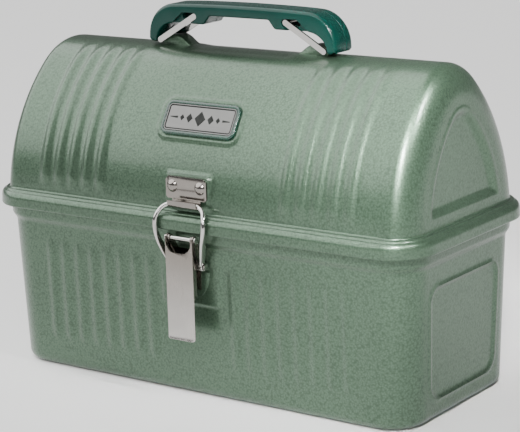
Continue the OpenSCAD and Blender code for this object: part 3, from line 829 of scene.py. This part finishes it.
def build_keeper(material):
    """Riveted plate with cut corners; its lower end rolls forward into a hook."""
    half, cut, rivet_x, rivet_z = 15.25, 2.3, 10.4, 133.4
    face = LID_PAD_Y + SHEET
    outline = [(-half + 1.3, 125.6), (half - 1.3, 125.6), (half, 126.9), (half, 139.5 - cut),
               (half - cut, 139.5), (-half + cut, 139.5), (-half, 139.5 - cut), (-half, 126.9)]
    plate = prism_y("keeper", outline, -face, -LID_PAD_Y + 0.4)
    for x in (-rivet_x, rivet_x):
        hole = discs_hull([(x, rivet_z)], 1.92, 32)
        combine(plate, prism_y("hole", hole, -80, -60), "DIFFERENCE")
    middle = np.concatenate([
        [(-LID_PAD_Y - 0.5, 128.0), (-LID_PAD_Y - 0.5, 124.6)],
        arc((HOOK_BAR[0] + 0.45, HOOK_BAR[1] + 0.45), (2.62, 2.55), 0, -180, 12),
        [(-73.45, 125.3)]])
    hook = sheet_strip("hook", middle, 0.9, -10.75, 10.75)
    combine(plate, hook, "UNION")
    bevel(plate, 0.25, 3, 30)
    return place(plate, "lid", material, "nickel", "keeper_plate")


def offset_path(path, distance):
    """Path moved sideways by a distance; path is a list of (y, z)."""
    p = np.asarray(path, float)
    t = np.gradient(p, axis=0)
    t /= np.linalg.norm(t, axis=1, keepdims=True)
    return p + distance * np.column_stack([-t[:, 1], t[:, 0]])


def sheet_strip(name, middle, thick, x0, x1):
    """Bent strip of sheet metal between two places along X."""
    ring = np.concatenate([offset_path(middle, thick / 2), offset_path(middle, -thick / 2)[::-1]])
    return prism_x(name, ring, x0, x1)


def lever_ring(z, low, half, flange, front):
    """Section of the lever at height z: a plate with two flanges turned back."""
    round_out, corner = 1.3, 1.6
    up = z - low
    h = half - corner + math.sqrt(max(corner ** 2 - max(corner - up, 0) ** 2, 0.0))
    y = front - 0.55 * max(1 - up / 3.0, 0) ** 2
    inner = min(0.3, flange)
    back = y + SHEET
    radii, arc_y = (round_out, 0.95), y + round_out - 0.35
    outer = np.concatenate([[(-h, back + flange)],
                            arc((-h + round_out, arc_y), radii, 180, 270, 6),
                            arc((h - round_out, arc_y), radii, 270, 360, 6),
                            [(h, back + flange)]])
    inside = np.array([(h - SHEET, back + flange), (h - SHEET, back + inner),
                       (h - SHEET - 0.3, back), (-h + SHEET + 0.3, back),
                       (-h + SHEET, back + inner), (-h + SHEET, back + flange)])
    ring = np.concatenate([outer, inside])
    return np.column_stack([ring, np.full(len(ring), z)])


def build_lever(material):
    """Lever plate with turned-back flanges, a round notch at its top, and two ears."""
    low = LEVER_BOTTOM
    heights = np.concatenate([low + np.array([0.02, 0.12, 0.35, 0.7, 1.15, 1.6, 2.3, 3.0]),
                              np.linspace(low + 5, FLANGE_LOW - 0.4, 6),
                              FLANGE_LOW + np.array([0, 0.5, 1.1, 1.8, 2.6]),
                              np.linspace(FLANGE_LOW + 4, LEVER_TOP, 9)])
    flanges = [3.0 * float(smooth(FLANGE_LOW - 0.3, FLANGE_LOW + 2.6, z)) for z in heights]
    loops = [lever_ring(z, low, LEVER_HALF, flange, LEVER_FRONT)
             for z, flange in zip(heights, flanges)]
    lever = loft("lever", loops, sharp=40)
    inner_x = LEVER_HALF - SHEET
    side = curve([(inner_x, 110), (inner_x, 100.2), (8.4, 97.6), (6.6, 95.6),
                  (4.4, 94.4), (2.0, 94.3)], 4)
    notch = np.concatenate([side, side[::-1] * (-1, 1)])
    combine(lever, prism_y("notch", notch, -84, -76.9), "DIFFERENCE")
    for x0 in (-LEVER_HALF - 0.03, inner_x - 0.03):
        outline = discs_hull([LEVER_PIVOT, BAIL_PIVOT], [2.6, 2.4], 48)
        combine(lever, prism_x("ear", outline, x0, x0 + SHEET + 0.06), "UNION")
    for centre in (LEVER_PIVOT, BAIL_PIVOT):
        hole = discs_hull([centre], PIN_HOLE_R, 32)
        combine(lever, prism_x("hole", hole, -14, 14), "DIFFERENCE")
    bevel(lever, 0.16, 2, 40)
    return place(lever, "lever", material, "nickel", "latch_lever")


def tube(name, path, radius, ref, sides=20, widen=1.0):
    """Round wire along a path that never runs along ref; widen flattens it, point by point."""
    path = np.asarray(path, float)
    tangent = np.gradient(path, axis=0)
    u = np.cross(tangent, ref)
    u /= np.linalg.norm(u, axis=1, keepdims=True)
    v = np.cross(tangent, u)
    v /= np.linalg.norm(v, axis=1, keepdims=True)
    turn = np.linspace(0, 2 * math.pi, sides, endpoint=False)
    broad = np.broadcast_to(widen, len(path))
    loops = [p + radius * (np.cos(turn)[:, None] * a * w ** -0.4 + w * np.sin(turn)[:, None] * b)
             for p, a, b, w in zip(path, u, v, broad)]
    return loft(name, loops, sharp=50)


def build_bail(material):
    """Wire bail: over the hook, round both sides of the lever and down to its two eyes."""
    half = [(0, *HOOK_BAR), (6, *HOOK_BAR), (11, HOOK_BAR[0] - 0.2, HOOK_BAR[1] - 0.3),
            (15.4, -73, 120.3), (17.7, -75.7, 116), (18.4, -76.8, 111.5), (17.7, -76.7, 105),
            (15.4, -74.2, 96), (EYE_X + 0.3, BAIL_PIVOT[0] - 0.6, BAIL_PIVOT[1] + 2)]
    route = [(-x, y, z) for x, y, z in half[:0:-1]] + half
    path = curve(route, 7)
    feet = 1 + 0.8 * (1 - smooth(98, 110, path[:, 2]))
    bail = tube("bail", path, BAIL_R, (0, 1, 0), widen=feet)
    disc = discs_hull([BAIL_PIVOT], 2.6, 40)
    bore = discs_hull([BAIL_PIVOT], PIN_HOLE_R, 32)
    for x in (-EYE_X, EYE_X):
        eye = prism_x("eye", disc, x - EYE_HALF, x + EYE_HALF)
        bevel(eye, 0.45, 3)
        combine(bail, eye, "UNION")
        combine(bail, prism_x("hole", bore, x - 3, x + 3), "DIFFERENCE")
    tidy_mesh(bail.data, 45)
    return place(bail, "bail", material, "nickel", "latch_bail")


# ---------------------------------------------------------------------------
# Handle
# ---------------------------------------------------------------------------

def grip_stations():
    """Pairs of (inner, outer) points along the grip, from the right leg to the middle."""
    half, top = GRIP_HIGH[0], GRIP_HIGH[2]
    leg_low, lug_low, under = GRIP_LOW[2], 223.0, 228.6
    outer = np.concatenate([
        [(half, leg_low + 0.9), (half, leg_low + 2.2)],
        arc((50, 214), (half - 50, top - 215), 0, 81, 12),
        [(50, top - 1.0), (44, top - 0.72), (36, top - 0.45), (28.5, top - 0.3),
         (26.6, top - 0.27), (22.4, top - 0.2), (20, top - 0.17), (10, top - 0.05), (0, top)]])
    inner = np.concatenate([
        [(65.3, leg_low), (65.1, leg_low + 1.0)],
        arc((50, leg_low + 0.6), (15, lug_low - leg_low - 0.6), 6, 84, 12),
        [(50, lug_low), (44, lug_low), (36, lug_low), (28.2, lug_low),
         (26.8, lug_low + 0.4), (22.9, under - 0.4), (21.6, under), (10, under), (0, under)]])
    return inner, outer


def grip_section(inner, outer, y0, y1, front_round, seam_round, shrink):
    """Rounded section of one half of the grip between an inner and an outer point."""
    steps = 6
    length = float(np.linalg.norm(outer - inner))
    along = (outer - inner) / length
    lo, hi, a, b = shrink, length - shrink, y0 + shrink, y1 - shrink
    outer_r, inner_r = front_round
    flat = np.concatenate([
        arc((lo + inner_r, a + inner_r), (inner_r, inner_r), 180, 270, steps),
        arc((hi - outer_r, a + outer_r), (outer_r, outer_r), 270, 360, steps),
        arc((hi - seam_round, b - seam_round), (seam_round, seam_round), 0, 90, steps),
        arc((lo + seam_round, b - seam_round), (seam_round, seam_round), 90, 180, steps)])
    place_xz = inner + flat[:, :1] * along
    return np.column_stack([place_xz[:, 0], flat[:, 1], place_xz[:, 1]])


def grip_half(name, y0, y1):
    """Half of the grip between its face y0 and the seam y1, made on one side then mirrored."""
    inner, outer = grip_stations()
    near, far = (y0, y1) if y0 < y1 else (-y0, -y1)
    loops = []
    for i in range(len(inner)):
        shrink = 0.9 if i == 0 else 0.0
        loops.append(grip_section(inner[i], outer[i], near, far, (2.6, 1.3), 0.4, shrink))
    other = [loop * (-1, 1, 1) for loop in loops[-2::-1]]
    loops = [loop * (1, 1 if y0 < y1 else -1, 1) for loop in loops + other]
    return loft(name, loops, sharp=42)


def build_grip(material):
    """Both halves of the grip, cut for the links and for the screws in the rear half."""
    cut_r = CHANNEL_R + SLOT_ROOM
    slot_r = LINK_R + SLOT_ROOM
    for name, y0, node in (("grip_front_half", GRIP_LOW[1], "grip_front"),
                           ("grip_rear_half", REAR_HIGH[1], "grip_rear")):
        half = grip_half(name, y0, SEAM_Y)
        out = math.copysign(1, y0)
        for side in (-1, 1):
            flip = np.array([side, 1])
            channel = discs_hull([LINK_HEAD * flip, (LINK_HEAD + (PIN_TRAVEL, 0)) * flip,
                                  LINK_FOOT * flip, (LINK_FOOT - (0, HANDLE_LIFT)) * flip], cut_r)
            y_in, y_out = sorted((out * WEB_Y, out * 24))
            combine(half, prism_y("channel", channel, y_in, y_out), "DIFFERENCE")
            slot = discs_hull([(LINK_HEAD - (0.3, 0)) * flip,
                               (LINK_HEAD + (PIN_TRAVEL + 0.3, 0)) * flip], slot_r)
            combine(half, prism_y("slot", slot, -24, 24), "DIFFERENCE")
        if node == "grip_rear":
            for place_xz in SCREWS:
                hole = discs_hull([place_xz], SCREW_HOLE_R, 32)
                combine(half, prism_y("hole", hole, 7, 14), "DIFFERENCE")
        tidy_mesh(half.data, 42)
        place(half, "handle", material, "grip_plastic", node)


def build_saddle(side, material, node):
    """Pressed saddle: a ramp that rises to a crest and wraps the foot of the link."""
    bottom = corners(node)[0][2] - 1.5
    foot_x, foot_z = LINK_FOOT
    top = curve([(SADDLE_X, bottom + 1.2), (44, 210.3), (47, 212.6), (50, 214.25), (52.3, 214.75),
                 (55, 214.5), (59, 213.9), (foot_x - 0.4, foot_z + 2.2)], 3)
    wrap = arc((foot_x, foot_z), (SADDLE_WRAP_R, SADDLE_WRAP_R), 84, -60, 9)
    outline = np.concatenate([top, wrap, [(foot_x + 0.4, bottom), (SADDLE_X, bottom)]])
    loops = []
    for y, drop in ((-5.5, 0.9), (-5.2, 0.35), (-4.6, 0.0), (4.6, 0.0), (5.2, 0.35), (5.5, 0.9)):
        x = outline[:, 0] + np.where(outline[:, 0] > foot_x, -drop, 0)
        z = np.maximum(outline[:, 1] - drop, bottom - 0.01 * drop)
        loops.append(np.column_stack([side * x, np.full(len(x), y), z]))
    saddle = loft("saddle_" + ("left" if side < 0 else "right"), loops, sharp=50)
    bore = discs_hull([(side * foot_x, foot_z)], SADDLE_BORE_R, 32)
    combine(saddle, prism_y("bore", bore, -8, 8), "DIFFERENCE")
    tidy_mesh(saddle.data, 45)
    return place(saddle, "lid", material, "painted_steel", node)


# ---------------------------------------------------------------------------
# CAD nodes whose shape stays
# ---------------------------------------------------------------------------

def finish_node(name, material, rounding=0.0):
    """New material for a CAD node, and slightly rounded edges where its size allows."""
    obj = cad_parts[name]
    obj.data.materials.clear()
    obj.data.materials.append(material)
    if rounding:
        weld = obj.modifiers.new("weld", "WELD")
        weld.merge_threshold = 1e-6
        step = obj.modifiers.new("bevel", "BEVEL")
        step.width = rounding * MM
        step.segments = 2
        step.limit_method = "ANGLE"
        step.angle_limit = math.radians(40)


# ---------------------------------------------------------------------------
# Studio
# ---------------------------------------------------------------------------

def direction(azimuth, elevation):
    """Unit vector towards a place; azimuth turns from the front towards +X, in degrees."""
    az, el = math.radians(azimuth), math.radians(elevation)
    return Vector((math.sin(az) * math.cos(el), -math.cos(az) * math.cos(el), math.sin(el)))


def add_camera():
    """The photo's view: from the front right, a little above and slightly rolled."""
    back = direction(CAMERA_AZIMUTH, CAMERA_ELEVATION)
    right = Vector((0, 0, 1)).cross(back).normalized()
    up = back.cross(right)
    x_axis = right * math.cos(CAMERA_ROLL) + up * math.sin(CAMERA_ROLL)
    y_axis = up * math.cos(CAMERA_ROLL) - right * math.sin(CAMERA_ROLL)
    camera = bpy.data.cameras.new("camera")
    camera.sensor_width = 36.0
    camera.lens = CAMERA_LENS
    camera.clip_end = 20.0
    obj = bpy.data.objects.new("camera", camera)
    turn = Matrix((x_axis, y_axis, back)).transposed().to_4x4()
    obj.matrix_world = Matrix.Translation(Vector(CAMERA_AIM) + back * CAMERA_DISTANCE) @ turn
    bpy.context.scene.collection.objects.link(obj)
    bpy.context.scene.camera = obj


def add_light(name, azimuth, elevation, distance, size, power, aim=(0, 0, 0.11), spread=180):
    """Soft rectangular light that faces its aim; a small spread keeps it off the floor."""
    light = bpy.data.lights.new(name, "AREA")
    light.shape = "RECTANGLE"
    light.size, light.size_y = size
    light.energy = power
    light.spread = math.radians(spread)
    obj = bpy.data.objects.new(name, light)
    towards = direction(azimuth, elevation)
    obj.location = Vector(aim) + towards * distance
    obj.rotation_euler = towards.to_track_quat("Z", "Y").to_euler()
    bpy.context.scene.collection.objects.link(obj)


def add_sun(azimuth, elevation, softness, strength):
    """Even light from a wide patch of sky; softness is how wide the patch is, in degrees."""
    light = bpy.data.lights.new("sky_patch", "SUN")
    light.angle = math.radians(softness)
    light.energy = strength
    obj = bpy.data.objects.new("sky_patch", light)
    obj.rotation_euler = direction(azimuth, elevation).to_track_quat("Z", "Y").to_euler()
    bpy.context.scene.collection.objects.link(obj)


def add_floor():
    """Large pale floor under the box."""
    mesh = bpy.data.meshes.new("floor")
    r = 4.0
    mesh.from_pydata([(-r, -r, 0), (r, -r, 0), (r, r, 0), (-r, r, 0)], [], [(0, 1, 2, 3)])
    floor = link_object("floor", mesh)
    pale, _ = new_material("pale_floor", Base_Color=(0.93, 0.93, 0.92, 1), Roughness=0.6)
    floor.data.materials.append(pale)


def add_studio():
    """White surroundings, a wide sky patch, a weak key, and two glints on the lid's corner."""
    world = bpy.data.worlds.new("studio")
    world.use_nodes = True
    back = world.node_tree.nodes["Background"]
    back.inputs["Color"].default_value = (1.0, 1.0, 1.0, 1)
    back.inputs["Strength"].default_value = 0.2
    bpy.context.scene.world = world
    add_sun(azimuth=-64, elevation=50, softness=84, strength=4.8)
    add_light("key", azimuth=28, elevation=32, distance=1.5, size=(0.6, 0.6), power=13)
    add_light("glint", azimuth=34, elevation=38, distance=0.6, size=(0.13, 0.2), power=0.36,
              aim=(0.144, -0.052, 0.172), spread=16)
    add_light("glint_high", azimuth=80, elevation=46, distance=0.6, size=(0.14, 0.1), power=0.1,
              aim=(0.146, -0.032, 0.19), spread=16)
    add_floor()


# ---------------------------------------------------------------------------
# The whole box
# ---------------------------------------------------------------------------

def build_box():
    """Every visual piece, then the materials of the CAD nodes that stay."""
    paint = hammertone_paint()
    plated = nickel("nickel_plate", 0.1, 0.2, (1, 1, 1), (0.27, 0.25, 0.23))
    mirror = nickel("nickel_mirror", 0.04, 0.1, (1, 1, 1), (0.55, 0.54, 0.52))
    # The lever's nickel carries a painted reflection that darkens its upper end.
    brushed_lever = nickel("nickel_brushed", 0.18, 0.32, (1, 1, 0.04), (0.5, 0.48, 0.46), True)
    brushed_badge = nickel("badge_brushed", 0.3, 0.42, (0.03, 1, 1), (0.16, 0.16, 0.155))
    zinc = zinc_plate()
    plastic = grip_plastic()
    enamel = badge_enamel()
    black = black_enamel()

    build_lid(paint)
    build_tub(paint)
    build_base_plate(paint)
    build_badge(enamel, brushed_badge, black)
    build_keeper(plated)
    build_lever(brushed_lever)
    build_bail(mirror)
    build_grip(plastic)
    for side, node in ((-1, "handle_saddle_left"), (1, "handle_saddle_right")):
        build_saddle(side, paint, node)

    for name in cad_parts:
        if name.startswith("hinge_leaf"):
            finish_node(name, paint, 0.25)
        elif name.startswith("handle_link"):
            finish_node(name, mirror, 0.5)
        elif name in ("latch_base", "keeper_rivets"):
            finish_node(name, plated)
        elif name in ("latch_pivot_pin", "bail_pins"):
            finish_node(name, mirror)
        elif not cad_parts[name].hide_render:
            finish_node(name, zinc)


add_camera()
add_studio()
build_box()
